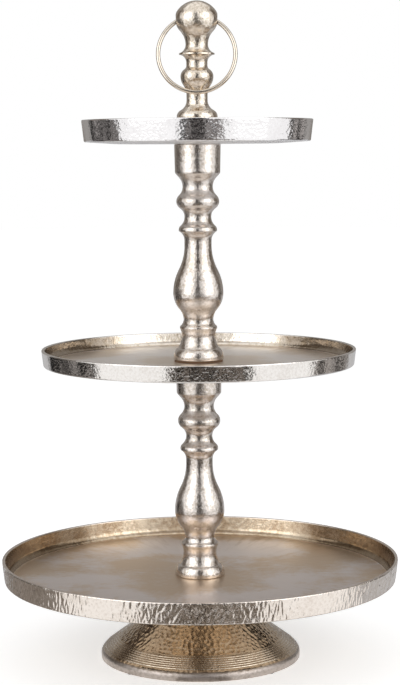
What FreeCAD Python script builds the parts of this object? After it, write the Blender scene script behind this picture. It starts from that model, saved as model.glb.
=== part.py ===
import FreeCAD, Part
import math
import os

# Trays: radius at the rim, height from the flat underside, lift of the outer edge above that underside
BOTTOM_TRAY_RADIUS = 235.0
BOTTOM_TRAY_HEIGHT = 27.0
BOTTOM_TRAY_LIFT = 2.0
MIDDLE_TRAY_RADIUS = 185.0
MIDDLE_TRAY_HEIGHT = 19.5
MIDDLE_TRAY_LIFT = 0.4
TOP_TRAY_RADIUS = 135.0
TOP_TRAY_HEIGHT = 28.2
TOP_TRAY_LIFT = 2.6
TRAY_FLOOR = 3.8
TRAY_WALL = 4.0
WALL_LEAN = 6.7          # degrees, the wall draws in toward the floor
LIFT_WIDTH = 40.0        # the underside rises over this width
COVE_RADIUS = 9.0        # inside corner between floor and wall
CORNER_ROUND = 2.0       # outside bottom corner
LIP_ROUND = 1.2          # both edges of the rim's top face

# Posts: radii and heights above the post's own base
POST_LENGTH = 252.2
POST_BASE_RADIUS = 29.7
POST_BASE_EDGE = 2.0
BELL_TOP_RADIUS = 25.4
BELL_TOP = 13.0
BELL_STEP = 0.8
WAIST_RADIUS = 19.7
WAIST = 28.0
LOW_BEAD_RADIUS = 22.1
LOW_BEAD = 37.4
LOW_BEAD_HALF = 2.0
LOW_NECK_RADIUS = 17.6
LOW_NECK = 46.7
BULGE_RADIUS = 29.5
BULGE = 77.8
LONG_NECK_RADIUS = 15.9
LONG_NECK = 134.0
LONG_NECK_END = 139.5
SHARP_BEAD_RADIUS = 22.5
SHARP_BEAD = 151.5
SHARP_BEAD_HALF = 0.9
MID_NECK_RADIUS = 15.6
MID_NECK = 167.3
HIGH_BEAD_RADIUS = 25.1
HIGH_BEAD = 185.3
HIGH_NECK_RADIUS = 17.6
HIGH_NECK = 202.3
SHOULDER_RADIUS = 23.2
SHOULDER = 214.5
DRUM_RADIUS = 26.4
DRUM = 218.5
POST_TOP_RADIUS = 27.1

# Finial: radii and heights above the top tray's floor
PLINTH_RADIUS = 23.8
PLINTH = 27.5
STEM_RADIUS = 12.3
STEM_FOOT = 46.5
STEM_HEAD = 53.0
BULB_RADIUS = 19.1
BULB = 74.0
MID_STEM_FOOT = 86.5
MID_STEM_HEAD = 90.0
COLLAR_RADIUS = 20.6
COLLAR = 99.8
COLLAR_HALF = 0.8
BALL_NECK_RADIUS = 13.0
BALL_NECK = 110.6
BALL_RADIUS = 25.0
BALL = 140.8
BALL_DOME = 20.2         # height of the ball above its widest line
BALL_SIDE = 15.0         # radius of the ball's side where it turns into the flatter crown
HOLE_DROP = 1.5          # the ring's hole lies this far below the widest line

# Ring handle
RING_OUTER = 47.2
RING_WIRE = 2.5          # radius of the wire
RING_PLAY = 0.35         # room left around the wire in its hole
RING_GAP = 0.3           # room left between the hanging ring and the finial

# Foot: radii and heights above the floor
FOOT_TOP = 93.4
FOOT_RADIUS = 118.6
LIP_TOP = 3.5
BAND_RADIUS = 113.5
BAND = 13.7
BAND_BULGE = 1.9         # how far the lower band stands out from a straight line
RIB_COUNT = 6
RIB_TOP_RADIUS = 99.0
RIB_STEP = 0.7           # small step above the ribs
RIB_BULGE = 0.6
CONE_RADIUS = 64.0
CONE_SLOPE = 36.6        # degrees from level
FOOT_NECK_RADIUS = 46.0
FOOT_WALL = 4.5
FOOT_PLATE = 9.0
FOOT_RIM = 9.0           # width of the edge that the foot stands on

# Pads, washers and fasteners
PAD_THICKNESS = 1.0
PAD_RADIUS = 3.5
PAD_COUNT = 4
GASKET = 1.0
GASKET_RADIUS = 42.0
SEAT_WASHER = 2.5
SEAT_WASHER_RADIUS = 28.6
BOLT_RADIUS = 4.0
BOLT_HEAD_FLATS = 13.0
BOLT_HEAD = 5.3
WASHER_RADIUS = 8.0
WASHER = 1.6
SPRING_WASHER_RADIUS = 7.4
SPRING_WASHER = 2.0
SPRING_WASHER_SLOT = 1.5
THREAD_DEPTH = 18.0
BORE_SPARE = 3.0         # bore left open past the end of a thread
THREAD_GAP = 0.05
HOLE_GAP = 0.5

AXIS = FreeCAD.Vector(0, 0, 1)
ORIGIN = FreeCAD.Vector(0, 0, 0)

# Heights of the stack, from the floor up
BOTTOM_TRAY_Z = FOOT_TOP + GASKET
LOWER_POST_Z = BOTTOM_TRAY_Z + TRAY_FLOOR
MIDDLE_TRAY_Z = LOWER_POST_Z + POST_LENGTH
SEAT_WASHER_Z = MIDDLE_TRAY_Z + TRAY_FLOOR
UPPER_POST_Z = SEAT_WASHER_Z + SEAT_WASHER
TOP_TRAY_Z = UPPER_POST_Z + POST_LENGTH
FINIAL_Z = TOP_TRAY_Z + TRAY_FLOOR
HOLE_Z = FINIAL_Z + BALL - HOLE_DROP


# Outlines: points are (radius, height) and lie in the XZ plane
def at(point):
    return FreeCAD.Vector(point[0], 0, point[1])


def straight(*points):
    return [Part.makeLine(at(a), at(b)) for a, b in zip(points, points[1:])]


def through(start, middle, end):
    return [Part.Arc(at(start), at(middle), at(end)).toShape()]


def upright_arc(start, end):
    """Arc that leaves start straight up or down and runs to end."""
    out = end[0] - start[0]
    up = end[1] - start[1]
    radius = (out * out + up * up) / (2 * abs(out))
    half = math.atan2(abs(out), abs(up))
    middle = (
        start[0] + math.copysign(radius * (1 - math.cos(half)), out),
        start[1] + math.copysign(radius * math.sin(half), up),
    )
    return through(start, middle, end)


def arc_to_upright(start, end):
    """Arc that runs from start and arrives at end straight up or down."""
    return [edge.reversed() for edge in upright_arc(end, start)]


def ogee(start, end, share=0.5):
    """Smooth S curve, upright at both ends; share is how far along it turns over."""
    turn = (start[0] + share * (end[0] - start[0]), start[1] + share * (end[1] - start[1]))
    return upright_arc(start, turn) + arc_to_upright(turn, end)


def polar(centre, radius, angle):
    return (centre[0] + radius * math.cos(angle), centre[1] + radius * math.sin(angle))


def turned(edges):
    return Part.Face(Part.Wire(edges)).revolve(ORIGIN, AXIS, 360)


def rod(radius, height, z=0.0):
    return Part.makeCylinder(radius, height, FreeCAD.Vector(0, 0, z))


def ring_disc(outer, inner, height, z):
    return rod(outer, height, z).cut(rod(inner, height, z))


def rims(shape, radius, z):
    """Circular edges of the shape with this radius at this height."""
    found = []
    for edge in shape.Edges:
        curve = edge.Curve
        if isinstance(curve, Part.Circle) and abs(curve.Radius - radius) < 0.01 and abs(curve.Center.z - z) < 0.01:
            found.append(edge)
    return found


# Trays
def tray(radius, height, lift, z):
    lean = math.tan(math.radians(WALL_LEAN))
    foot_radius = radius - lean * (height - lift)
    inner_top = radius - TRAY_WALL
    inner_foot = inner_top - lean * (height - TRAY_FLOOR)
    hole = BOLT_RADIUS + HOLE_GAP
    dish = turned(straight(
        (hole, 0),
        (foot_radius - LIFT_WIDTH, 0),
        (foot_radius, lift),
        (radius, height),
        (inner_top, height),
        (inner_foot, TRAY_FLOOR),
        (hole, TRAY_FLOOR),
        (hole, 0),
    ))
    dish = dish.makeFillet(COVE_RADIUS, rims(dish, inner_foot, TRAY_FLOOR))
    dish = dish.makeFillet(CORNER_ROUND, rims(dish, foot_radius, lift))
    dish = dish.makeFillet(LIP_ROUND, rims(dish, radius, height) + rims(dish, inner_top, height))
    return dish.translated(FreeCAD.Vector(0, 0, z))


# Posts
def post(z):
    bead_foot = (LOW_BEAD_RADIUS - 0.7, LOW_BEAD - LOW_BEAD_HALF)
    bead_head = (LOW_BEAD_RADIUS - 0.7, LOW_BEAD + LOW_BEAD_HALF)
    edges = straight((0, 0), (POST_BASE_RADIUS, 0), (POST_BASE_RADIUS, POST_BASE_EDGE))
    edges += upright_arc((POST_BASE_RADIUS, POST_BASE_EDGE), (BELL_TOP_RADIUS, BELL_TOP))
    edges += straight((BELL_TOP_RADIUS, BELL_TOP), (BELL_TOP_RADIUS - BELL_STEP, BELL_TOP))
    edges += arc_to_upright((BELL_TOP_RADIUS - BELL_STEP, BELL_TOP), (WAIST_RADIUS, WAIST))
    edges += upright_arc((WAIST_RADIUS, WAIST), bead_foot)
    edges += through(bead_foot, (LOW_BEAD_RADIUS, LOW_BEAD), bead_head)
    edges += arc_to_upright(bead_head, (LOW_NECK_RADIUS, LOW_NECK))
    edges += ogee((LOW_NECK_RADIUS, LOW_NECK), (BULGE_RADIUS, BULGE), 0.4)
    edges += ogee((BULGE_RADIUS, BULGE), (LONG_NECK_RADIUS, LONG_NECK))
    edges += straight((LONG_NECK_RADIUS, LONG_NECK), (LONG_NECK_RADIUS, LONG_NECK_END))
    edges += upright_arc((LONG_NECK_RADIUS, LONG_NECK_END), (SHARP_BEAD_RADIUS, SHARP_BEAD - SHARP_BEAD_HALF))
    edges += straight(
        (SHARP_BEAD_RADIUS, SHARP_BEAD - SHARP_BEAD_HALF),
        (SHARP_BEAD_RADIUS, SHARP_BEAD + SHARP_BEAD_HALF),
    )
    edges += ogee((SHARP_BEAD_RADIUS, SHARP_BEAD + SHARP_BEAD_HALF), (MID_NECK_RADIUS, MID_NECK), 0.3)
    edges += ogee((MID_NECK_RADIUS, MID_NECK), (HIGH_BEAD_RADIUS, HIGH_BEAD), 0.55)
    edges += ogee((HIGH_BEAD_RADIUS, HIGH_BEAD), (HIGH_NECK_RADIUS, HIGH_NECK), 0.43)
    edges += upright_arc((HIGH_NECK_RADIUS, HIGH_NECK), (SHOULDER_RADIUS, SHOULDER))
    edges += straight(
        (SHOULDER_RADIUS, SHOULDER),
        (DRUM_RADIUS, DRUM),
        (POST_TOP_RADIUS, POST_LENGTH),
        (0, POST_LENGTH),
        (0, 0),
    )
    bore = BOLT_RADIUS + THREAD_GAP
    depth = THREAD_DEPTH + BORE_SPARE
    solid = turned(edges).cut(rod(bore, depth)).cut(rod(bore, depth, POST_LENGTH - depth))
    return solid.translated(FreeCAD.Vector(0, 0, z))


# Finial
def ring_hole_radius():
    return (RING_OUTER - mouth_height()) / 2 + RING_PLAY


def ring_drop():
    """Distance from the hole's axis to the ring's centre."""
    return (RING_OUTER + mouth_height()) / 2


def mouth_height():
    """Height over the ring's centre of the wire's inner side where it leaves the ball."""
    return math.sqrt((RING_OUTER - 2 * RING_WIRE) ** 2 - BALL_RADIUS ** 2)


def ball_dome():
    """Two arcs over the ball: a side arc, then a flatter crown that meets it smoothly."""
    side = (BALL_RADIUS - BALL_SIDE, BALL)
    rise = BALL_DOME - BALL_SIDE
    crown_depth = (side[0] ** 2 - rise ** 2) / (2 * rise)
    crown = BALL_DOME + crown_depth
    meet = math.atan2(crown_depth, side[0])
    crown_centre = (0, BALL - crown_depth)
    join = polar(crown_centre, crown, meet)
    edges = through((BALL_RADIUS, BALL), polar(side, BALL_SIDE, meet / 2), join)
    top_middle = polar(crown_centre, crown, (meet + math.pi / 2) / 2)
    return edges + through(join, top_middle, (0, BALL + BALL_DOME))


def finial():
    edges = straight((0, 0), (PLINTH_RADIUS, 0), (PLINTH_RADIUS, PLINTH))
    edges += ogee((PLINTH_RADIUS, PLINTH), (STEM_RADIUS, STEM_FOOT), 0.4)
    edges += straight((STEM_RADIUS, STEM_FOOT), (STEM_RADIUS, STEM_HEAD))
    edges += ogee((STEM_RADIUS, STEM_HEAD), (BULB_RADIUS, BULB))
    edges += ogee((BULB_RADIUS, BULB), (STEM_RADIUS, MID_STEM_FOOT), 0.65)
    edges += straight((STEM_RADIUS, MID_STEM_FOOT), (STEM_RADIUS, MID_STEM_HEAD))
    edges += upright_arc((STEM_RADIUS, MID_STEM_HEAD), (COLLAR_RADIUS, COLLAR - COLLAR_HALF))
    edges += straight((COLLAR_RADIUS, COLLAR - COLLAR_HALF), (COLLAR_RADIUS, COLLAR + COLLAR_HALF))
    edges += arc_to_upright((COLLAR_RADIUS, COLLAR + COLLAR_HALF), (BALL_NECK_RADIUS, BALL_NECK))
    edges += ogee((BALL_NECK_RADIUS, BALL_NECK), (BALL_RADIUS, BALL))
    edges += ball_dome()
    edges += straight((0, BALL + BALL_DOME), (0, 0))
    hole = Part.makeCylinder(
        ring_hole_radius(), 2 * RING_OUTER, FreeCAD.Vector(-RING_OUTER, 0, BALL - HOLE_DROP), FreeCAD.Vector(1, 0, 0)
    )
    bore = rod(BOLT_RADIUS + THREAD_GAP, THREAD_DEPTH + BORE_SPARE)
    return turned(edges).cut(hole).cut(bore).translated(FreeCAD.Vector(0, 0, FINIAL_Z))


# Ring handle: hangs from the hole and leans forward until it all but touches the finial
def hung_ring(lean):
    centre = FreeCAD.Vector(0, 0, HOLE_Z - ring_drop())
    ring = Part.makeTorus(RING_OUTER - RING_WIRE, RING_WIRE, centre, FreeCAD.Vector(0, 1, 0))
    ring.rotate(FreeCAD.Vector(0, 0, HOLE_Z), FreeCAD.Vector(1, 0, 0), -lean)
    return ring


def resting_lean(stem):
    touching = 0.0
    clear = 45.0
    for _ in range(12):
        lean = (touching + clear) / 2
        if hung_ring(lean).distToShape(stem)[0] < RING_GAP:
            touching = lean
        else:
            clear = lean
    return clear


# Foot
def cone_height(radius):
    return BAND + (BAND_RADIUS - radius) * math.tan(math.radians(CONE_SLOPE))


def ribs():
    """Round ribs side by side, from the lower band up the cone."""
    edges = []
    step = (BAND_RADIUS - RIB_TOP_RADIUS) / RIB_COUNT
    slope = math.radians(CONE_SLOPE)
    for i in range(RIB_COUNT):
        low = BAND_RADIUS - i * step
        high = low - step
        middle = (low + high) / 2
        crest = (middle + RIB_BULGE * math.sin(slope), cone_height(middle) + RIB_BULGE * math.cos(slope))
        edges += through((low, cone_height(low)), crest, (high, cone_height(high)))
    return edges


def foot():
    slope = math.radians(CONE_SLOPE)
    step_top = (RIB_TOP_RADIUS, cone_height(RIB_TOP_RADIUS) + RIB_STEP)
    cone_top = (CONE_RADIUS, cone_height(CONE_RADIUS) + RIB_STEP)
    neck = (FOOT_NECK_RADIUS, cone_top[1] + (CONE_RADIUS - FOOT_NECK_RADIUS) / math.tan((math.pi / 2 - slope) / 2))
    band_middle = (
        (FOOT_RADIUS + BAND_RADIUS) / 2 + BAND_BULGE * math.cos(slope),
        (LIP_TOP + BAND) / 2 + BAND_BULGE * math.sin(slope),
    )
    edges = straight((0, PAD_THICKNESS), (FOOT_RADIUS, PAD_THICKNESS), (FOOT_RADIUS, LIP_TOP))
    edges += through((FOOT_RADIUS, LIP_TOP), band_middle, (BAND_RADIUS, BAND))
    edges += ribs()
    edges += straight((RIB_TOP_RADIUS, cone_height(RIB_TOP_RADIUS)), step_top, cone_top)
    edges += arc_to_upright(cone_top, neck)
    edges += straight(neck, (FOOT_NECK_RADIUS, FOOT_TOP), (0, FOOT_TOP), (0, PAD_THICKNESS))
    shell = turned(edges).cut(foot_hollow(neck[1], slope))
    return shell.cut(rod(BOLT_RADIUS + HOLE_GAP, FOOT_TOP))


def foot_hollow(neck_height, slope):
    drop = FOOT_WALL / math.cos(slope)
    mouth = FOOT_RADIUS - FOOT_RIM
    throat = FOOT_NECK_RADIUS - FOOT_WALL
    cone_foot = (mouth, cone_height(mouth) - drop)
    cone_head = (CONE_RADIUS - FOOT_WALL, cone_height(CONE_RADIUS - FOOT_WALL) - drop)
    ceiling = FOOT_TOP - FOOT_PLATE
    edges = straight((0, 0), (mouth, 0), cone_foot, cone_head)
    edges += arc_to_upright(cone_head, (throat, neck_height - FOOT_WALL))
    edges += straight((throat, neck_height - FOOT_WALL), (throat, ceiling), (0, ceiling), (0, 0))
    return turned(edges)


def foot_pads():
    pads = []
    for i in range(PAD_COUNT):
        angle = 2 * math.pi * (i + 0.5) / PAD_COUNT
        reach = FOOT_RADIUS - FOOT_RIM / 2
        centre = FreeCAD.Vector(reach * math.cos(angle), reach * math.sin(angle), 0)
        pads.append(Part.makeCylinder(PAD_RADIUS, PAD_THICKNESS, centre))
    return Part.makeCompound(pads)


# Fasteners
def hexagon(flats, height, z):
    corner = flats / math.sqrt(3)
    points = [FreeCAD.Vector(corner * math.cos(i * math.pi / 3), corner * math.sin(i * math.pi / 3), z) for i in range(7)]
    return Part.Face(Part.makePolygon(points)).extrude(FreeCAD.Vector(0, 0, height))


def spring_washer_z():
    return FOOT_TOP - FOOT_PLATE - WASHER - SPRING_WASHER


def foot_bolt():
    under_head = spring_washer_z()
    shank = LOWER_POST_Z + THREAD_DEPTH - under_head
    head = hexagon(BOLT_HEAD_FLATS, BOLT_HEAD, under_head - BOLT_HEAD)
    return head.fuse(rod(BOLT_RADIUS, shank, under_head)).removeSplitter()


def foot_washer():
    return ring_disc(WASHER_RADIUS, BOLT_RADIUS + HOLE_GAP, WASHER, FOOT_TOP - FOOT_PLATE - WASHER)


def foot_spring_washer():
    z = spring_washer_z()
    ring = ring_disc(SPRING_WASHER_RADIUS, BOLT_RADIUS + HOLE_GAP, SPRING_WASHER, z)
    slot = Part.makeBox(
        SPRING_WASHER_RADIUS, SPRING_WASHER_SLOT, SPRING_WASHER, FreeCAD.Vector(0, -SPRING_WASHER_SLOT / 2, z)
    )
    return ring.cut(slot)


def stud(lower_thread_top, upper_thread_foot):
    low = lower_thread_top - THREAD_DEPTH
    return rod(BOLT_RADIUS, upper_thread_foot + THREAD_DEPTH - low, low)


# All the pieces
stem = finial()
lean = resting_lean(stem)
pieces = {
    "pedestal_foot": foot(),
    "foot_pads": foot_pads(),
    "foot_gasket": ring_disc(GASKET_RADIUS, BOLT_RADIUS + HOLE_GAP, GASKET, FOOT_TOP),
    "foot_bolt": foot_bolt(),
    "foot_washer": foot_washer(),
    "foot_spring_washer": foot_spring_washer(),
    "bottom_tray": tray(BOTTOM_TRAY_RADIUS, BOTTOM_TRAY_HEIGHT, BOTTOM_TRAY_LIFT, BOTTOM_TRAY_Z),
    "middle_tray": tray(MIDDLE_TRAY_RADIUS, MIDDLE_TRAY_HEIGHT, MIDDLE_TRAY_LIFT, MIDDLE_TRAY_Z),
    "top_tray": tray(TOP_TRAY_RADIUS, TOP_TRAY_HEIGHT, TOP_TRAY_LIFT, TOP_TRAY_Z),
    "lower_post": post(LOWER_POST_Z),
    "upper_post": post(UPPER_POST_Z),
    "seat_washer": ring_disc(SEAT_WASHER_RADIUS, BOLT_RADIUS + HOLE_GAP, SEAT_WASHER, SEAT_WASHER_Z),
    "middle_stud": stud(MIDDLE_TRAY_Z, UPPER_POST_Z),
    "top_stud": stud(TOP_TRAY_Z, FINIAL_Z),
    "finial": stem,
    "ring_handle": hung_ring(lean),
}

os.makedirs("parts", exist_ok=True)
for name, shape in pieces.items():
    shape.exportStep("parts/" + name + ".step")
print("ring hangs at", round(lean, 2), "degrees from a pivot at height", round(HOLE_Z, 2))
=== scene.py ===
import math
from collections import namedtuple

import bmesh
import bpy
import numpy as np
from mathutils import Euler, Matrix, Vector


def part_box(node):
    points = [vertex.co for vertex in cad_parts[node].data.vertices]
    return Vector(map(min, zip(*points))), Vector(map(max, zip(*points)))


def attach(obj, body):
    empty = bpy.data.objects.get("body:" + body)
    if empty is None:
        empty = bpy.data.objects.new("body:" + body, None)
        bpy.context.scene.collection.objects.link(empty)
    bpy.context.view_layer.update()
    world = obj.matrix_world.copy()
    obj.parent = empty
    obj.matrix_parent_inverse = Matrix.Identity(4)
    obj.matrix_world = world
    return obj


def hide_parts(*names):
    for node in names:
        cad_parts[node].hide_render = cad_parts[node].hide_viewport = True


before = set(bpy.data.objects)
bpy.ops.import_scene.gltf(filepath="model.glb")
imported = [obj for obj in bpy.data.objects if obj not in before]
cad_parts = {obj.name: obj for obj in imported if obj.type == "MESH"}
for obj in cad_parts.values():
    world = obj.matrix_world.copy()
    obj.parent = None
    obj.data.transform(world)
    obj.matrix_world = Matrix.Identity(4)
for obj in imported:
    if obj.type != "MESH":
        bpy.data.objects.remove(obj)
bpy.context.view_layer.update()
random = np.random.default_rng(7)
MM = 0.001
FULL_TURN = 2 * math.pi

# Tolerances, in metres
SAME_POINT = 2e-6
ON_THE_PLANE = 1e-6
NO_LENGTH = 1e-7


def add_object(name, data):
    """New object of this data, in the scene."""
    obj = bpy.data.objects.new(name, data)
    bpy.context.scene.collection.objects.link(obj)
    return obj


# Turned shapes, taken from the section of a CAD node
def outline(node):
    """Points (radius, height) in order along the right half of the node's section."""
    bm = bmesh.new()
    bm.from_mesh(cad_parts[node].data)
    bmesh.ops.remove_doubles(bm, verts=bm.verts, dist=SAME_POINT)
    everything = bm.verts[:] + bm.edges[:] + bm.faces[:]
    cut = bmesh.ops.bisect_plane(
        bm, geom=everything, plane_co=(0, 0, 0), plane_no=(0, 1, 0), dist=ON_THE_PLANE)
    neighbours = {}
    for part in cut["geom_cut"]:
        if isinstance(part, bmesh.types.BMEdge) and min(v.co.x for v in part.verts) > -ON_THE_PLANE:
            a, b = part.verts
            neighbours.setdefault(a, []).append(b)
            neighbours.setdefault(b, []).append(a)
    ends = [v for v, near in neighbours.items() if len(near) == 1]
    here = min(ends or neighbours, key=lambda v: (v.co.x, v.co.z))
    walk = [here]
    before = None
    while True:
        onward = [v for v in neighbours[here] if v is not before]
        before = here
        if not onward:
            break
        here = onward[0]
        walk.append(here)
        if here is walk[0]:
            break
    points = np.array([(max(v.co.x, 0.0), v.co.z) for v in walk])
    bm.free()
    return points


def resample(points, step):
    """The same line with a point about every step, which is a function of radius and height."""
    out = [points[0]]
    for a, b in zip(points, points[1:]):
        length = np.linalg.norm(b - a)
        if length < NO_LENGTH:
            continue
        count = max(1, int(math.ceil(length / step(*(a + b) / 2))))
        out.extend(a + (b - a) * k / count for k in range(1, count + 1))
    return np.array(out)


def soften(points, rounds):
    """Takes the hard edge off corners, as casting and polishing do. The ends stay."""
    pull = 0.25
    points = points.copy()
    for _ in range(rounds):
        points[1:-1] += pull * (points[:-2] + points[2:] - 2 * points[1:-1])
    return points


def outward(points):
    """Unit normals of the outline, pointing away from the metal."""
    never_zero = 1e-12
    along = np.gradient(points, axis=0)
    along /= np.linalg.norm(along, axis=1, keepdims=True) + never_zero
    normal = np.stack([along[:, 1], -along[:, 0]], axis=1)
    widest = points[:, 0].argmax()
    if normal[widest, 0] < 0:
        normal = -normal
    return normal


def lathe(name, points, depth, body, node, materials, zone=None):
    """Turned mesh whose surface is pressed in by depth, one row per outline point."""
    count, around = depth.shape
    angle = np.linspace(0, FULL_TURN, around, endpoint=False)
    normal = outward(points)
    radius = points[:, :1] - normal[:, :1] * depth
    height = points[:, 1:] - normal[:, 1:] * depth
    places = np.stack([radius * np.cos(angle), radius * np.sin(angle), height], axis=2)
    column = np.arange(around)
    quads = []
    for row in range(count - 1):
        a = row * around + column
        b = row * around + (column + 1) % around
        quads.append(np.stack([a, b, b + around, a + around], axis=1))
    mesh = bpy.data.meshes.new(name)
    mesh.from_pydata(places.reshape(-1, 3).tolist(), [], np.concatenate(quads).tolist())
    for material in materials:
        mesh.materials.append(material)
    if zone is not None:
        mesh.polygons.foreach_set("material_index", np.repeat(zone[:-1], around).astype(np.int32))
    bm = bmesh.new()
    bm.from_mesh(mesh)
    bmesh.ops.remove_doubles(bm, verts=bm.verts, dist=ON_THE_PLANE)
    bmesh.ops.recalc_face_normals(bm, faces=bm.faces)
    bm.to_mesh(mesh)
    bm.free()
    mesh.shade_smooth()
    obj = add_object(name, mesh)
    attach(obj, body)
    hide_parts(node)
    return obj


# Hammer marks; a blow leans by an angle in radians, within its range
Blow = namedtuple("Blow", "width length deepest leans")
ANY_WAY = (-1.5, 1.5)


def distances(points):
    """Length along the outline from its start to each point."""
    return np.concatenate([[0.0], np.cumsum(np.linalg.norm(np.diff(points, axis=0), axis=1))])


def scattered(depth, points, rows, blows):
    """Places for blows that go once around the axis and land anywhere along the rows."""
    along = distances(points)
    for blow in range(blows):
        turn = (blow + random.uniform(0, 1)) * depth.shape[1] / blows
        yield turn, along[random.choice(rows)]


def in_courses(depth, points, rows, pitch):
    """Places for blows in rings, one ring above another, about one pitch apart."""
    stray = 0.3
    course_height = 0.9 * pitch
    along = distances(points)
    for centre in np.arange(along[rows].min() + pitch / 2, along[rows].max(), course_height):
        radius = np.interp(centre, along, points[:, 0])
        blows = int(FULL_TURN * radius / pitch)
        start = random.uniform(0, 1)
        for blow in range(blows):
            turn = (blow + start + random.uniform(-stray, stray)) * depth.shape[1] / blows
            yield turn, centre + random.uniform(-stray, stray) * pitch


def hammer(depth, points, rows, places, blow):
    """Presses oval blows into the rows of a turned surface, each a little different."""
    smallest, largest = 0.75, 1.25
    lightest, heaviest = 0.5, 1.0
    just_past_half = 0.52
    around = depth.shape[1]
    along = distances(points)
    furthest = just_past_half * largest * max(blow.width, blow.length)
    for turn, centre in places:
        near = rows[np.abs(along[rows] - centre) < furthest]
        radius = points[near, 0].mean()
        reach = int(math.ceil(around * furthest / (FULL_TURN * radius)))
        columns = np.arange(int(turn) - reach, int(turn) + reach + 1)
        sideways = (columns - turn) * FULL_TURN * radius / around
        up = (along[near] - centre)[:, None]
        lean = random.uniform(*blow.leans)
        u = sideways * math.cos(lean) + up * math.sin(lean)
        v = up * math.cos(lean) - sideways * math.sin(lean)
        size = random.uniform(smallest, largest)
        hollow = 1 - (2 * u / (blow.width * size)) ** 2 - (2 * v / (blow.length * size)) ** 2
        hollow *= blow.deepest * random.uniform(lightest, heaviest)
        place = np.ix_(near, columns % around)
        depth[place] = np.maximum(depth[place], hollow)


# Nodes that the materials are made of
def new_material(name):
    """Material, the nodes and links of its tree, and its shader."""
    material = bpy.data.materials.new(name)
    material.use_nodes = True
    nodes = material.node_tree.nodes
    return material, nodes, material.node_tree.links, nodes["Principled BSDF"]


def bare_material(name):
    """Material with an empty tree, and the nodes and links of that tree."""
    material = bpy.data.materials.new(name)
    material.use_nodes = True
    material.node_tree.nodes.clear()
    return material, material.node_tree.nodes, material.node_tree.links


def show(nodes, links, shader):
    """Makes the shader the surface of a bare material."""
    end = nodes.new("ShaderNodeOutputMaterial")
    links.new(shader.outputs[0], end.inputs["Surface"])


def object_place(nodes):
    """Position in the object's own frame, in metres."""
    return nodes.new("ShaderNodeTexCoord").outputs["Object"]


def math_node(nodes, links, operation, *values):
    """One step of arithmetic; each value is a number or another node's output."""
    step = nodes.new("ShaderNodeMath")
    step.operation = operation
    for socket, value in zip(step.inputs, values):
        if isinstance(value, (int, float)):
            socket.default_value = value
        else:
            links.new(value, socket)
    return step.outputs[0]


def around_the_axis(nodes, links, turns, outward_scale):
    """Vector that changes with the direction around the axis and with the radius, and the radius itself."""
    place = nodes.new("ShaderNodeSeparateXYZ")
    links.new(object_place(nodes), place.inputs[0])
    squares = [math_node(nodes, links, "MULTIPLY", place.outputs[axis], place.outputs[axis]) for axis in "XY"]
    radius = math_node(nodes, links, "SQRT", math_node(nodes, links, "ADD", *squares))
    joined = nodes.new("ShaderNodeCombineXYZ")
    for axis in "XY":
        direction = math_node(nodes, links, "DIVIDE", place.outputs[axis], radius)
        links.new(math_node(nodes, links, "MULTIPLY", direction, turns), joined.inputs[axis])
    links.new(math_node(nodes, links, "MULTIPLY", radius, outward_scale), joined.inputs["Z"])
    return joined.outputs[0], radius


def to_the_side(nodes, links, place, reach):
    """Share of the reach that a place lies to the left or right of the middle."""
    axes = nodes.new("ShaderNodeSeparateXYZ")
    links.new(place, axes.inputs[0])
    return math_node(nodes, links, "DIVIDE", math_node(nodes, links, "ABSOLUTE", axes.outputs["X"]), reach)


def noise_node(nodes, links, vector, scale, detail=3.0, roughness=0.55):
    """Cloudy value between 0 and 1."""
    cloud = nodes.new("ShaderNodeTexNoise")
    cloud.inputs["Scale"].default_value = scale
    cloud.inputs["Detail"].default_value = detail
    cloud.inputs["Roughness"].default_value = roughness
    links.new(vector, cloud.inputs["Vector"])
    return cloud.outputs["Fac"]


def blend(nodes, links, factor, low, high, colours):
    """Goes from the first colour to the second as the factor goes from low to high."""
    ramp = nodes.new("ShaderNodeValToRGB")
    for element, position, colour in zip(ramp.color_ramp.elements, (low, high), colours):
        element.position = position
        element.color = (*colour, 1)
    links.new(factor, ramp.inputs["Fac"])
    return ramp.outputs["Color"]


def multiplied(nodes, links, colour, tint, amount):
    """The colour darkened by the tint; the amount is a number or another node's output."""
    mixed = nodes.new("ShaderNodeMixRGB")
    mixed.blend_type = "MULTIPLY"
    if isinstance(amount, float):
        mixed.inputs["Fac"].default_value = amount
    else:
        links.new(amount, mixed.inputs["Fac"])
    links.new(colour, mixed.inputs["Color1"])
    links.new(tint, mixed.inputs["Color2"])
    return mixed.outputs[0]


def remap(nodes, links, value, start, end, low=0.0, high=1.0):
    """Goes from low to high as the value goes from start to end."""
    span = nodes.new("ShaderNodeMapRange")
    span.inputs["From Min"].default_value = start
    span.inputs["From Max"].default_value = end
    span.inputs["To Min"].default_value = low
    span.inputs["To Max"].default_value = high
    links.new(value, span.inputs["Value"])
    return span.outputs["Result"]


def spread(nodes, links, cloud, low, high):
    """Low to high over the part of its range that a cloudy value mostly takes."""
    return remap(nodes, links, cloud, start=0.3, end=0.7, low=low, high=high)


def bump(nodes, links, height, distance, before=None):
    """Normal of a surface raised by up to the distance, on top of the bumps before it."""
    push = nodes.new("ShaderNodeBump")
    push.inputs["Strength"].default_value = 1.0
    push.inputs["Distance"].default_value = distance
    links.new(height, push.inputs["Height"])
    if before is not None:
        links.new(before, push.inputs["Normal"])
    return push.outputs["Normal"]


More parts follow.
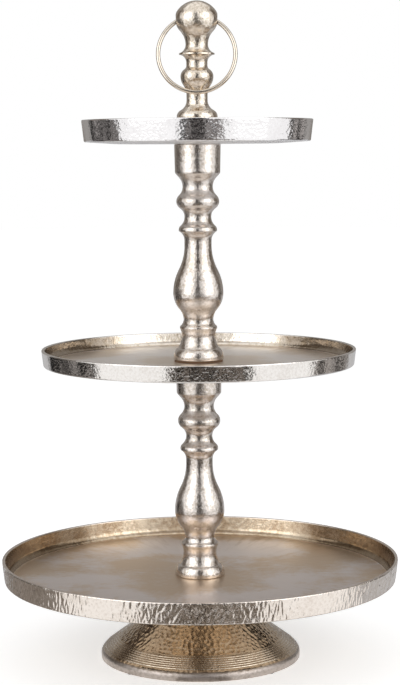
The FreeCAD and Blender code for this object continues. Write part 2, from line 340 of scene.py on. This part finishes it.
# Kinds of material
def cast_metal(name, dark, light, rough, grain, grain_depth, wave_depth=0.3 * MM):
    """Polished casting: cloudy colour, uneven gloss, fine pitted grain on a slightly wavy skin."""
    grain_share = 0.8
    cloud_share = 0.6
    material, nodes, links, shader = new_material(name)
    shader.inputs["Metallic"].default_value = 1.0
    place = object_place(nodes)
    cloud = noise_node(nodes, links, place, scale=28.0, detail=4.0)
    fine = noise_node(nodes, links, place, scale=grain, roughness=0.6)
    clouded = math_node(nodes, links, "MULTIPLY", cloud, cloud_share)
    specks = math_node(nodes, links, "MULTIPLY_ADD", fine, grain_share, clouded)
    colour = blend(nodes, links, specks, low=0.54, high=0.78, colours=(dark, light))
    links.new(colour, shader.inputs["Base Color"])
    links.new(spread(nodes, links, cloud, *rough), shader.inputs["Roughness"])
    ripple = noise_node(nodes, links, place, scale=90.0, detail=2.0)
    waves = bump(nodes, links, ripple, wave_depth)
    links.new(bump(nodes, links, fine, grain_depth, waves), shader.inputs["Normal"])
    return material


def with_painted_side_shade(material, reach):
    """The same metal with painted shade, darker along the two sides of a tray of this reach, with a ragged
    edge.
    """
    unshaded = (1.0, 1.0, 1.0)
    painted_side_shade = (0.55, 0.50, 0.45)
    raggedness = 0.3
    nodes, links = material.node_tree.nodes, material.node_tree.links
    colour = nodes["Principled BSDF"].inputs["Base Color"]
    place = object_place(nodes)
    aside = to_the_side(nodes, links, place, reach)
    cloud = noise_node(nodes, links, place, scale=25.0)
    ragged = math_node(nodes, links, "MULTIPLY_ADD", cloud, raggedness, aside)
    # painted shade: the wall's colour is multiplied down along the tray's left and right sides
    side_shade = blend(nodes, links, ragged, low=0.64, high=0.80, colours=(unshaded, painted_side_shade))
    links.new(multiplied(nodes, links, colour.links[0].from_socket, side_shade, 1.0), colour)
    return material


def wiped_belt(nodes, links, place, radius, reach):
    """Cloudy value that is highest on a belt between the post and the rim."""
    middle_of_belt = 0.57
    half_width = 0.3
    weight = 0.6
    cloud = noise_node(nodes, links, place, scale=2.2 / reach, detail=4.0)
    off_belt = math_node(nodes, links, "MULTIPLY_ADD", radius, -1 / reach, middle_of_belt)
    belt = math_node(nodes, links, "SUBTRACT", half_width, math_node(nodes, links, "ABSOLUTE", off_belt))
    return math_node(nodes, links, "MULTIPLY_ADD", belt, weight, cloud)


def streak_and_shade_strength(nodes, links, place, radius, reach):
    """How much the streaks and the painted shade under them show: toward the rim, in front and at the back,
    and more in some places.
    """
    near_rim = remap(nodes, links, radius, start=0.5 * reach, end=0.9 * reach)
    cloud = noise_node(nodes, links, place, scale=1.5 / reach)
    here_and_there = spread(nodes, links, cloud, low=0.4, high=1.0)
    aside = to_the_side(nodes, links, place, reach)
    front_and_back = math_node(nodes, links, "SUBTRACT", 1.0, aside)
    masked = math_node(nodes, links, "MULTIPLY", front_and_back, here_and_there)
    return math_node(nodes, links, "MULTIPLY", near_rim, masked)


def brushed_floor(name, warm, grey, reach):
    """Tray floor: a wiped greyer belt with feathered edges, and streaks that run out toward the rim over a
    painted shade that darkens it near the rim, in front and at the back.
    """
    # the streaks are brushing; painted shade darkens the floor near the rim by up to a fifth, even between
    # the streaks
    streak_in_rim_shade = (0.56, 0.53, 0.50)
    painted_rim_shade = (0.80, 0.79, 0.78)
    grain_share = 0.25
    feather_share = 0.18
    material, nodes, links, shader = new_material(name)
    shader.inputs["Metallic"].default_value = 1.0
    place = object_place(nodes)
    turned, radius = around_the_axis(nodes, links, turns=24.0, outward_scale=20.0)
    streak = noise_node(nodes, links, turned, scale=1.0, detail=4.0, roughness=0.6)
    grain = noise_node(nodes, links, place, scale=140.0, roughness=0.7)
    wiped = wiped_belt(nodes, links, place, radius, reach)
    grainy = math_node(nodes, links, "MULTIPLY_ADD", grain, grain_share, wiped)
    feathered = math_node(nodes, links, "MULTIPLY_ADD", streak, feather_share, grainy)
    patches = blend(nodes, links, feathered, low=0.69, high=0.86, colours=(warm, grey))
    shade = blend(nodes, links, streak, low=0.36, high=0.5, colours=(streak_in_rim_shade, painted_rim_shade))
    strength = streak_and_shade_strength(nodes, links, place, radius, reach)
    links.new(multiplied(nodes, links, patches, shade, strength), shader.inputs["Base Color"])
    links.new(spread(nodes, links, wiped, low=0.34, high=0.43), shader.inputs["Roughness"])
    waves = bump(nodes, links, noise_node(nodes, links, place, scale=45.0, detail=2.0), 0.8 * MM)
    links.new(bump(nodes, links, streak, 0.2 * MM, waves), shader.inputs["Normal"])
    return material


def plain(name, colour, rough, metallic):
    """Small part's material: one colour, a little cloudy."""
    material, nodes, links, shader = new_material(name)
    shader.inputs["Metallic"].default_value = metallic
    shader.inputs["Roughness"].default_value = rough
    shades = ([0.9 * c for c in colour], colour)
    cloud = noise_node(nodes, links, object_place(nodes), scale=120.0)
    links.new(blend(nodes, links, cloud, low=0.35, high=0.65, colours=shades), shader.inputs["Base Color"])
    return material


def silvery_inside(name, reach):
    """Inner wall of the middle and top trays, with painted shade along its two sides."""
    metal = cast_metal(
        name, dark=(0.68, 0.58, 0.45), light=(0.86, 0.79, 0.70),
        rough=(0.10, 0.20), grain=200.0, grain_depth=0.4 * MM)
    return with_painted_side_shade(metal, reach)


# Materials of the trays
bottom_reach, middle_reach, top_reach = (
    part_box(node)[1].x for node in ("bottom_tray", "middle_tray", "top_tray"))
bottom_wall = cast_metal(
    "bottom tray wall", dark=(0.75, 0.67, 0.60), light=(0.87, 0.80, 0.735),
    rough=(0.05, 0.12), grain=300.0, grain_depth=0.2 * MM)
middle_wall = cast_metal(
    "middle tray wall", dark=(0.78, 0.74, 0.70), light=(0.88, 0.85, 0.82),
    rough=(0.05, 0.10), grain=400.0, grain_depth=0.1 * MM)
top_wall = cast_metal(
    "top tray wall", dark=(0.86, 0.84, 0.845), light=(0.94, 0.925, 0.93),
    rough=(0.05, 0.10), grain=400.0, grain_depth=0.1 * MM)
golden_wall = cast_metal(
    "bottom tray inner wall", dark=(0.51, 0.385, 0.26), light=(0.72, 0.61, 0.47),
    rough=(0.16, 0.26), grain=200.0, grain_depth=0.2 * MM)
# painted shade along the left and right sides of the bottom tray's inner wall
bottom_inside = with_painted_side_shade(golden_wall, bottom_reach)
middle_inside = silvery_inside("middle tray inner wall", middle_reach)
top_inside = silvery_inside("top tray inner wall", top_reach)
bottom_floor = brushed_floor(
    "bottom tray floor", warm=(0.75, 0.61, 0.47), grey=(0.86, 0.80, 0.775), reach=bottom_reach)
middle_floor = brushed_floor(
    "middle tray floor", warm=(0.78, 0.69, 0.60), grey=(0.88, 0.84, 0.81), reach=middle_reach)
top_floor = brushed_floor(
    "top tray floor", warm=(0.82, 0.75, 0.68), grey=(0.88, 0.85, 0.84), reach=top_reach)
bottom_underside = cast_metal(
    "bottom tray underside", dark=(0.56, 0.46, 0.36), light=(0.70, 0.60, 0.48),
    rough=(0.06, 0.14), grain=200.0, grain_depth=0.2 * MM)
underside = cast_metal(
    "tray underside", dark=(0.90, 0.89, 0.90), light=(0.97, 0.97, 0.98),
    rough=(0.40, 0.50), grain=200.0, grain_depth=0.2 * MM)

# Materials of the other pieces
post_metal = cast_metal(
    "post metal", dark=(0.56, 0.49, 0.42), light=(0.80, 0.74, 0.69),
    rough=(0.19, 0.26), grain=300.0, grain_depth=0.2 * MM)
finial_metal = cast_metal(
    "finial metal", dark=(0.58, 0.49, 0.39), light=(0.86, 0.78, 0.68),
    rough=(0.16, 0.25), grain=300.0, grain_depth=0.4 * MM, wave_depth=1.0 * MM)
foot_metal = cast_metal(
    "foot metal", dark=(0.53, 0.44, 0.345), light=(0.73, 0.635, 0.52),
    rough=(0.10, 0.18), grain=400.0, grain_depth=0.2 * MM)
# lip where the foot meets the floor: its greyer, rougher metal is its own; its darker tone is painted contact
# shade
shaded_foot_lip = cast_metal(
    "foot lip", dark=(0.36, 0.31, 0.27), light=(0.53, 0.47, 0.43),
    rough=(0.30, 0.38), grain=300.0, grain_depth=0.2 * MM)
ring_metal = plain("ring metal", (0.78, 0.70, 0.60), rough=0.2, metallic=1.0)
steel = plain("zinc plated steel", (0.60, 0.60, 0.61), rough=0.35, metallic=1.0)
fibre = plain("fibre washer", (0.16, 0.09, 0.05), rough=0.8, metallic=0.0)
felt = plain("felt", (0.10, 0.09, 0.08), rough=0.95, metallic=0.0)


# Trays
WALL, INSIDE, BED, BELOW = range(4)


def tray(node, around, step, marks, metals):
    """Dish with a hammered outer wall; metals are for the wall, its inside, the bed and the underside."""
    fine_part = 18 * MM
    coarse_step = 6 * MM
    wall_part = 6 * MM
    lip_height = 1.2 * MM
    bed_height = 4.4 * MM
    faces_out = 0.8
    faces_in = -0.5
    raw = outline(node)
    reach = raw[:, 0].max()
    spaced = resample(raw, lambda r, z: step if r > reach - fine_part else coarse_step)
    points = soften(spaced, rounds=2)
    normal = outward(points)
    height = points[:, 1]
    outer = (normal[:, 0] > faces_out) & (points[:, 0] > reach - wall_part)
    upper = (normal[:, 1] > 0) | (normal[:, 0] < faces_in)
    zone = np.where(height > height.min() + bed_height, INSIDE, BED)
    zone[outer | (height > height.max() - lip_height)] = WALL
    zone[~upper & ~outer] = BELOW
    depth = np.zeros((len(points), around))
    rows = np.flatnonzero(outer)
    for blow, count in marks:
        hammer(depth, points, rows, scattered(depth, points, rows, count), blow)
    lathe(node + "_hammered", points, depth, "stand", node, metals, zone)


stroke = Blow(width=3.9 * MM, length=15 * MM, deepest=0.42 * MM, leans=(-0.15, 0.45))
nick = Blow(width=2.5 * MM, length=4 * MM, deepest=0.2 * MM, leans=ANY_WAY)
dent = Blow(width=6 * MM, length=2.2 * MM, deepest=0.07 * MM, leans=(-0.3, 0.3))
pit = Blow(width=4 * MM, length=2.2 * MM, deepest=0.12 * MM, leans=(-0.4, 0.4))
soft_dent = dent._replace(deepest=0.06 * MM)
soft_pit = pit._replace(deepest=0.10 * MM)
tray("bottom_tray", around=2000, step=0.8 * MM, marks=((stroke, 1100), (nick, 500)),
     metals=(bottom_wall, bottom_inside, bottom_floor, bottom_underside))
tray("middle_tray", around=1900, step=0.6 * MM, marks=((soft_dent, 5000), (soft_pit, 2600)),
     metals=(middle_wall, middle_inside, middle_floor, underside))
tray("top_tray", around=1400, step=0.6 * MM, marks=((dent, 4000), (pit, 2200)),
     metals=(top_wall, top_inside, top_floor, underside))


# Foot
def foot():
    """Flared foot, hammered in rings on its cone and on the narrow band above its lip."""
    step = 0.8 * MM
    around = 1000
    cone_from, cone_to = 50 * MM, 98 * MM
    band_from, band_to = 113.5 * MM, 117.6 * MM
    lip_from = 117.0 * MM
    pitch = 6.0 * MM
    dimple = 6.6 * MM
    faces_up = 0.2
    cone_blow = Blow(width=dimple, length=dimple, deepest=0.55 * MM, leans=ANY_WAY)
    band_blow = cone_blow._replace(deepest=0.25 * MM)
    points = resample(outline("pedestal_foot"), lambda r, z: step)
    radius = points[:, 0]
    outside = outward(points)[:, 1] > faces_up
    depth = np.zeros((len(points), around))
    cone = np.flatnonzero(outside & (radius > cone_from) & (radius < cone_to))
    band = np.flatnonzero(outside & (radius > band_from) & (radius < band_to))
    for rows, blow in ((cone, cone_blow), (band, band_blow)):
        hammer(depth, points, rows, in_courses(depth, points, rows, pitch), blow)
    # the lip's rows take the material with painted contact shade
    zone = np.where(radius > lip_from, 1, 0)
    metals = (foot_metal, shaded_foot_lip)
    lathe("hammered_foot", points, depth, "stand", "pedestal_foot", metals, zone)


foot()


# Posts
def post(node):
    """Turned post with faint dents all over, and deeper ones where it faces down."""
    step = 0.8 * MM
    around = 240
    dimple = 4 * MM
    clearly = 0.1
    faint = Blow(width=dimple, length=dimple, deepest=0.07 * MM, leans=ANY_WAY)
    deeper = faint._replace(deepest=0.12 * MM)
    points = soften(resample(outline(node), lambda r, z: step), rounds=2)
    depth = np.zeros((len(points), around))
    normal = outward(points)
    outside = np.flatnonzero(normal[:, 0] > clearly)
    facing_down = np.flatnonzero((normal[:, 0] > clearly) & (normal[:, 1] < -clearly))
    for rows, count, blow in ((outside, 4500, faint), (facing_down, 1800, deeper)):
        hammer(depth, points, rows, scattered(depth, points, rows, count), blow)
    lathe(node + "_cast", points, depth, "stand", node, (post_metal,))


post("lower_post")
post("upper_post")

# Pieces that keep their CAD shape
for node, material in {
    "finial": finial_metal,
    "ring_handle": ring_metal,
    "seat_washer": fibre,
    "foot_gasket": fibre,
    "foot_pads": felt,
    "foot_bolt": steel,
    "foot_washer": steel,
    "foot_spring_washer": steel,
    "middle_stud": steel,
    "top_stud": steel,
}.items():
    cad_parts[node].data.materials.clear()
    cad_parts[node].data.materials.append(material)


# Camera, as in the photograph
def camera():
    downward = 6.0046
    roll = -0.362
    data = bpy.data.cameras.new("camera")
    data.sensor_width = 36.0
    data.lens = 96.0
    obj = add_object("camera", data)
    obj.location = (0.0016, -2.1405, 0.6013)
    tilted = Euler((math.radians(90 - downward), 0, 0)).to_matrix()
    rolled = Euler((0, 0, math.radians(roll))).to_matrix()
    obj.rotation_euler = (tilted @ rolled).to_euler()
    bpy.context.scene.camera = obj


camera()


# Studio; angles are in degrees, from the camera's side toward its right
FAR = 3.0
NEARER = 2.9
SCREEN_TOP = 4.0
SCREEN_FOOT = -3.0


def only_for_reflections(obj):
    """Hides a screen or shadow card from everything but mirror-like surfaces."""
    obj.visible_camera = False
    obj.visible_diffuse = False
    obj.visible_transmission = False
    obj.visible_volume_scatter = False
    obj.visible_shadow = False


def uneven_glow(name, low, high, grain):
    """Screen that is seen in reflections as cloudy light, between two levels."""
    material, nodes, links = bare_material(name)
    lamp = nodes.new("ShaderNodeEmission")
    cloud = noise_node(nodes, links, object_place(nodes), scale=grain, roughness=0.6)
    links.new(blend(nodes, links, cloud, low=0.47, high=0.58, colours=(low, high)), lamp.inputs["Color"])
    show(nodes, links, lamp)
    return material


def arc(radius, height, angles, count):
    """Points at one radius and height, from the first angle to the second."""
    turns = np.radians(np.linspace(*angles, count))
    return [(radius * math.sin(a), -radius * math.cos(a), height) for a in turns]


def strip(name, edge, other_edge, material):
    """Sheet between two rows of points, which is no part of the stand."""
    count = len(edge)
    faces = [(i, i + 1, count + i + 1, count + i) for i in range(count - 1)]
    mesh = bpy.data.meshes.new(name)
    mesh.from_pydata(edge + other_edge, [], faces)
    mesh.materials.append(material)
    obj = add_object(name, mesh)
    return obj


def screen(name, angles, heights, material, distance=FAR):
    """Upright curved screen around the stand."""
    low, high = (arc(distance, height, angles, count=13) for height in heights)
    only_for_reflections(strip(name, low, high, material))


def floor(name, inside, outside, material, angles=(-180, 180), height=0.0):
    """Flat ring around the stand, or a part of one."""
    inner, outer = (arc(radius, height, angles, count=65) for radius in (inside, outside))
    return strip(name, outer, inner, material)


def shadow_card(name, inside, outside, material, angles):
    """Part of a ring that lies on the floor: a painted shadow, seen only in reflections, where the trays
    shade the floor.
    """
    only_for_reflections(floor(name, inside, outside, material, angles, height=1 * MM))


def softbox(name, place):
    """Large soft lamp that faces the stand."""
    aim_height = 0.4
    data = bpy.data.lights.new(name, "AREA")
    data.shape = "RECTANGLE"
    data.size = 1.6
    data.size_y = 2.2
    data.energy = 12
    obj = add_object(name, data)
    obj.location = place
    aim = -obj.location
    aim.z += aim_height
    obj.rotation_euler = aim.to_track_quat("-Z", "Y").to_euler()


def ray_is(nodes, links, *kinds):
    """1 for a ray of any of these kinds, and 0 for any other."""
    path = nodes.new("ShaderNodeLightPath")
    found = path.outputs[kinds[0]]
    for kind in kinds[1:]:
        found = math_node(nodes, links, "MAXIMUM", found, path.outputs[kind])
    return found


def floor_paint():
    """Pale paint that takes shadows and shows as near white."""
    lift = 0.55
    material, nodes, links = bare_material("floor")
    paint = nodes.new("ShaderNodeBsdfDiffuse")
    paint.inputs["Color"].default_value = (0.86, 0.86, 0.86, 1)
    lamp = nodes.new("ShaderNodeEmission")
    seen = ray_is(nodes, links, "Is Camera Ray", "Is Glossy Ray")
    links.new(math_node(nodes, links, "MULTIPLY", seen, lift), lamp.inputs["Strength"])
    both = nodes.new("ShaderNodeAddShader")
    links.new(paint.outputs[0], both.inputs[0])
    links.new(lamp.outputs[0], both.inputs[1])
    show(nodes, links, both)
    return material


def sky():
    """White surroundings that light the stand less than they show."""
    light_level = 0.55
    shown_level = 1.0
    world = bpy.data.worlds.new("studio")
    bpy.context.scene.world = world
    world.use_nodes = True
    nodes, links = world.node_tree.nodes, world.node_tree.links
    light = nodes["Background"]
    light.inputs["Color"].default_value = (1, 1, 1, 1)
    seen = ray_is(nodes, links, "Is Camera Ray", "Is Glossy Ray", "Is Transmission Ray")
    level = remap(nodes, links, seen, start=0.0, end=1.0, low=light_level, high=shown_level)
    links.new(level, light.inputs["Strength"])


dark = uneven_glow("dark screen", (0.006, 0.005, 0.005), (0.06, 0.05, 0.05), grain=4.0)
left_mottle = uneven_glow("left mottled screen", (0.004, 0.004, 0.004), (0.30, 0.28, 0.27), grain=3.0)
right_mottle = uneven_glow("right mottled screen", (0.015, 0.014, 0.013), (0.46, 0.43, 0.41), grain=3.5)
speckle = uneven_glow("speckled screen", (0.004, 0.004, 0.003), (0.24, 0.205, 0.18), grain=3.0)
bright_speckle = uneven_glow("bright speckled screen", (0.003, 0.003, 0.003), (0.30, 0.28, 0.27), grain=3.0)
dim = uneven_glow("dim screen", (0.10, 0.085, 0.07), (0.26, 0.22, 0.19), grain=3.0)
low_glow = uneven_glow("low screen", (0.01, 0.009, 0.008), (0.43, 0.375, 0.325), grain=5.5)
mid = uneven_glow("mid screen", (0.20, 0.18, 0.16), (0.32, 0.29, 0.27), grain=3.0)
grey_glow = uneven_glow("grey screen", (0.31, 0.295, 0.28), (0.37, 0.355, 0.34), grain=2.0)
pale = uneven_glow("pale screen", (0.50, 0.50, 0.51), (0.58, 0.58, 0.59), grain=2.0)


def front_screens():
    column_foot = 0.2
    panel_foot = -0.35
    belt_foot = -0.95
    apron_top = -1.05
    screen("front_column", (-12, 10), (column_foot, SCREEN_TOP), dark)
    screen("front_panel", (-16, 25), (panel_foot, column_foot), bright_speckle)
    screen("front_belt", (-21, 38), (belt_foot, panel_foot), speckle)
    screen("front_apron", (-34, 36), (SCREEN_FOOT, apron_top), low_glow)


def side_screens():
    head_foot = 0.6
    seam = -0.05
    apron_top = -0.65
    screen("left_head", (-131, -98), (head_foot, SCREEN_TOP), dim)
    screen("left_upper_panel", (-132, -83), (seam, head_foot), left_mottle, NEARER)
    screen("left_panel", (-139, -78), (apron_top, seam), left_mottle, NEARER)
    screen("left_apron", (-150, -84), (SCREEN_FOOT, apron_top), mid, NEARER)
    screen("right_head", (98, 130), (head_foot, SCREEN_TOP), dim)
    screen("right_upper_panel", (103, 135), (seam, head_foot), right_mottle, NEARER)
    screen("right_panel", (90, 139), (apron_top, seam), right_mottle, NEARER)
    screen("right_apron", (96, 150), (SCREEN_FOOT, apron_top), pale, NEARER)


def back_screens():
    wall_foot = 0.6
    apron_top = 0.15
    wall_angles = (155, 205)
    screen("left_corner", (-155, -131), (apron_top, SCREEN_TOP), grey_glow)
    screen("right_corner", (130, 155), (apron_top, SCREEN_TOP), grey_glow)
    screen("back_wall", wall_angles, (wall_foot, SCREEN_TOP), grey_glow)
    screen("back_dado", wall_angles, (apron_top, wall_foot), mid)
    screen("back_apron", (130, 227), (SCREEN_FOOT, apron_top), pale)


def floor_and_shadow_cards():
    under_stand = 0.28
    horizon = 12.0
    paint = floor_paint()
    # painted shadow: dark cards on the floor around the foot, where the bottom tray shades it, seen only in
    # reflections
    shadow_card("near_shadow_card", inside=0.121, outside=0.195, material=mid, angles=(-14, 18))
    shadow_card("front_shadow_card", inside=0.195, outside=0.255, material=dark, angles=(-74, 74))
    shadow_card("back_shadow_card", inside=0.16, outside=0.30, material=dark, angles=(104, 256))
    floor("floor_under_stand", 0.0, under_stand, paint)
    floor("floor_around", under_stand, horizon, paint).visible_glossy = False


front_screens()
side_screens()
back_screens()
softbox("left_softbox", (-1.7, -1.5, 1.3))
softbox("right_softbox", (1.8, -1.3, 1.3))
floor_and_shadow_cards()
sky()
bpy.context.scene.view_settings.view_transform = "Standard"
